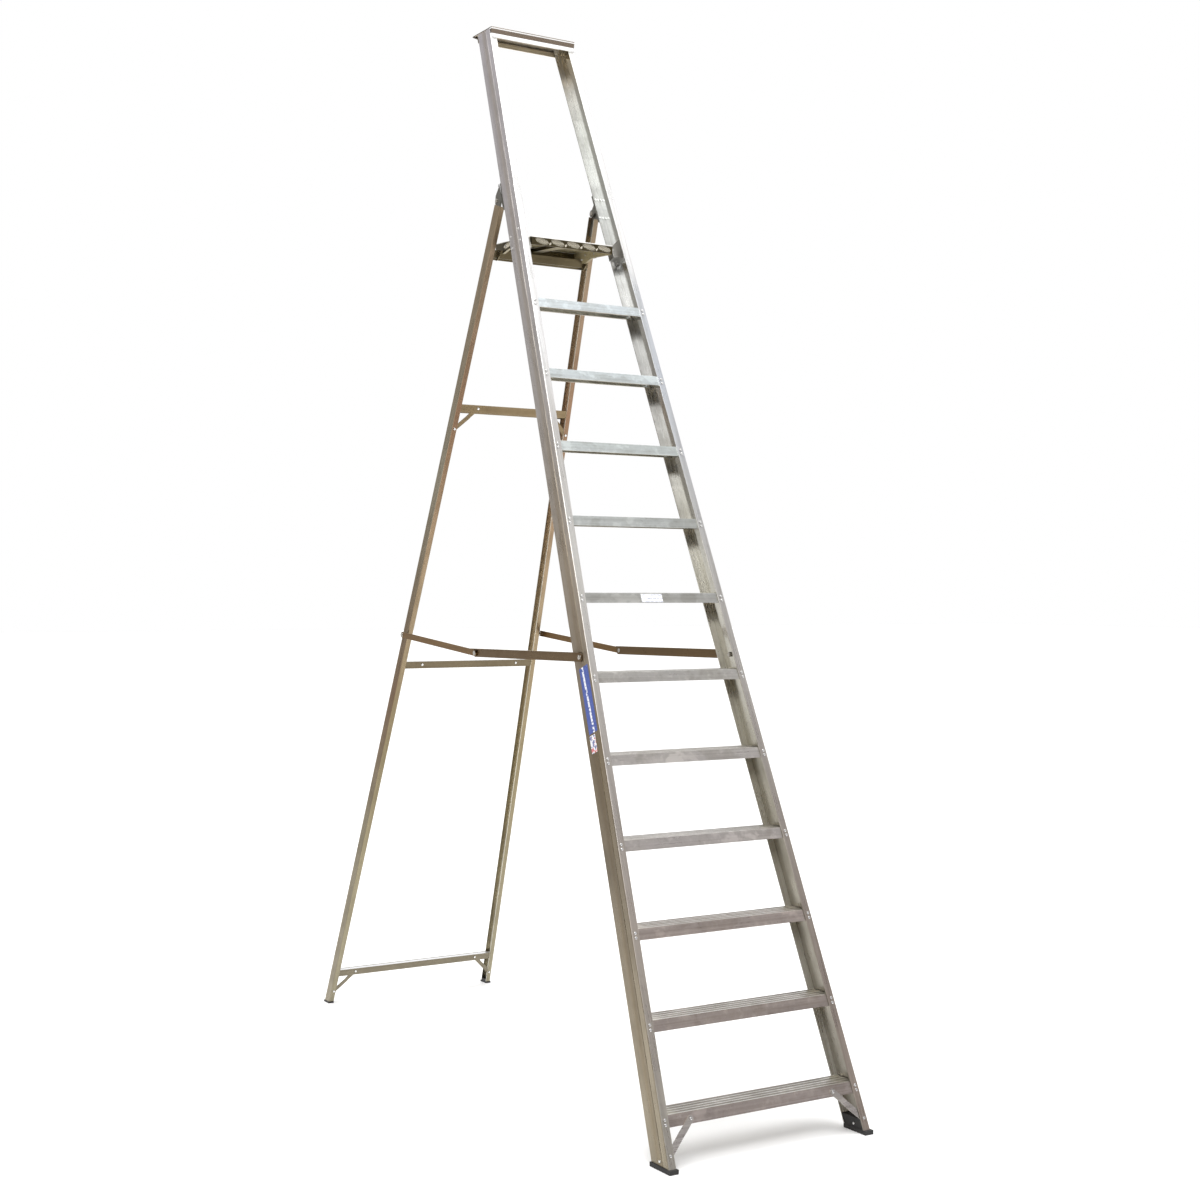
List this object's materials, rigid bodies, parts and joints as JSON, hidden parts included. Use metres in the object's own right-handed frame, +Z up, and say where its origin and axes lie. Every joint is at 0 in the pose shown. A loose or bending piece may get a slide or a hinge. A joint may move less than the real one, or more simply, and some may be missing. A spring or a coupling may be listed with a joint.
{
  "type": "platform stepladder",
  "caption": "Tall free-standing aluminium stepladder with ribbed treads, a small folding platform, a guard frame and a folding rear frame held by locking side stays.",
  "frame": {"origin": "centre of the floor footprint, on the floor, midway across the ladder", "axes": "+Z up, +X across the ladder to the right for someone facing the treads, -Y towards the climbing side, +Y towards the rear frame"},
  "size_m": [0.684, 2.2914, 3.364],
  "materials": {
    "stile_aluminium": "mill finish, faint extrusion lines",
    "tread_aluminium": "mill finish, ribbed top",
    "rear_aluminium": "mill finish",
    "platform_aluminium": "mill finish, raised bar pattern",
    "cap_aluminium": "mill finish",
    "rivet_aluminium": "bright headed rivets",
    "black_rubber": "matt, moulded",
    "black_plastic": "matt, moulded",
    "blue_label": "printed film, plain stripes",
    "white_label": "printed film"
  },
  "bodies": {
    "front_frame": {"stile_left": "stile_aluminium", "stile_right": "stile_aluminium", "tread_01": "tread_aluminium", "tread_02": "tread_aluminium", "tread_03": "tread_aluminium", "tread_04": "tread_aluminium", "tread_05": "tread_aluminium", "tread_06": "tread_aluminium", "tread_07": "tread_aluminium", "tread_08": "tread_aluminium", "tread_09": "tread_aluminium", "tread_10": "tread_aluminium", "tread_11": "tread_aluminium", "tread_rivets": "rivet_aluminium", "frame_rivets": "rivet_aluminium", "knee_brace_left": "stile_aluminium", "knee_brace_right": "stile_aluminium", "front_foot_left": "black_rubber", "front_foot_right": "black_rubber", "top_cap": "cap_aluminium", "platform_bracket_left": "stile_aluminium", "platform_bracket_right": "stile_aluminium", "platform_pins": "rivet_aluminium", "hinge_bracket_left": "stile_aluminium", "hinge_bracket_right": "stile_aluminium", "hinge_pins": "rivet_aluminium", "stay_pins": "rivet_aluminium", "side_label": "blue_label", "size_label": "white_label", "tread_label": "white_label"},
    "rear_frame": {"rear_leg_left": "rear_aluminium", "rear_leg_right": "rear_aluminium", "bottom_bar": "rear_aluminium", "middle_bar": "rear_aluminium", "upper_bar": "rear_aluminium", "platform_bar": "rear_aluminium", "bottom_brace_left": "rear_aluminium", "bottom_brace_right": "rear_aluminium", "upper_brace_left": "rear_aluminium", "upper_brace_right": "rear_aluminium", "rear_foot_left": "black_plastic", "rear_foot_right": "black_plastic", "hinge_plate_left": "rear_aluminium", "hinge_plate_right": "rear_aluminium", "rest_clips": "rear_aluminium", "stay_bosses": "rivet_aluminium", "rear_rivets": "rivet_aluminium"},
    "platform": {"platform_tray": "platform_aluminium", "platform_side_left": "platform_aluminium", "platform_side_right": "platform_aluminium", "platform_stiffener": "platform_aluminium", "platform_rivets": "rivet_aluminium"},
    "stay_arm_left": {"stay_arm_left": "rear_aluminium", "stay_joint_left": "rivet_aluminium"},
    "stay_link_left": {"stay_link_left": "rear_aluminium", "link_rivet_left": "rivet_aluminium"},
    "stay_arm_right": {"stay_arm_right": "rear_aluminium", "stay_joint_right": "rivet_aluminium"},
    "stay_link_right": {"stay_link_right": "rear_aluminium", "link_rivet_right": "rivet_aluminium"}
  },
  "joints": [
    {"name": "rear_fold", "type": "hinge", "parent": "front_frame", "child": "rear_frame", "pos_m": [0, 0.0993, 2.772], "axis": [1, 0, 0], "range_deg": [-42.3, 0]},
    {"name": "platform_fold", "type": "hinge", "parent": "front_frame", "child": "platform", "pos_m": [0, -0.04683, 2.62446], "axis": [1, 0, 0], "range_deg": [0, 64.72]},
    {"name": "arm_fold_left", "type": "hinge", "parent": "front_frame", "child": "stay_arm_left", "pos_m": [-0.273, -0.56925, 1.32235], "axis": [1, 0, 0], "range_deg": [0, 59.61]},
    {"name": "link_fold_left", "type": "hinge", "parent": "stay_arm_left", "child": "stay_link_left", "pos_m": [-0.273, 0.0723, 1.316], "axis": [1, 0, 0], "range_deg": [-180.1, 0]},
    {"name": "arm_fold_right", "type": "hinge", "parent": "front_frame", "child": "stay_arm_right", "pos_m": [0.273, -0.56925, 1.32235], "axis": [1, 0, 0], "range_deg": [0, 59.61]},
    {"name": "link_fold_right", "type": "hinge", "parent": "stay_arm_right", "child": "stay_link_right", "pos_m": [0.273, 0.0723, 1.316], "axis": [1, 0, 0], "range_deg": [-180.1, 0]}
  ],
  "couplings": [
    {"joint": "platform_fold", "follows": "rear_fold", "ratio": -1.5296},
    {"joint": "arm_fold_left", "follows": "rear_fold", "ratio": -1.4087},
    {"joint": "link_fold_left", "follows": "rear_fold", "ratio": 4.2572},
    {"joint": "arm_fold_right", "follows": "rear_fold", "ratio": -1.4087},
    {"joint": "link_fold_right", "follows": "rear_fold", "ratio": 4.2572}
  ]
}
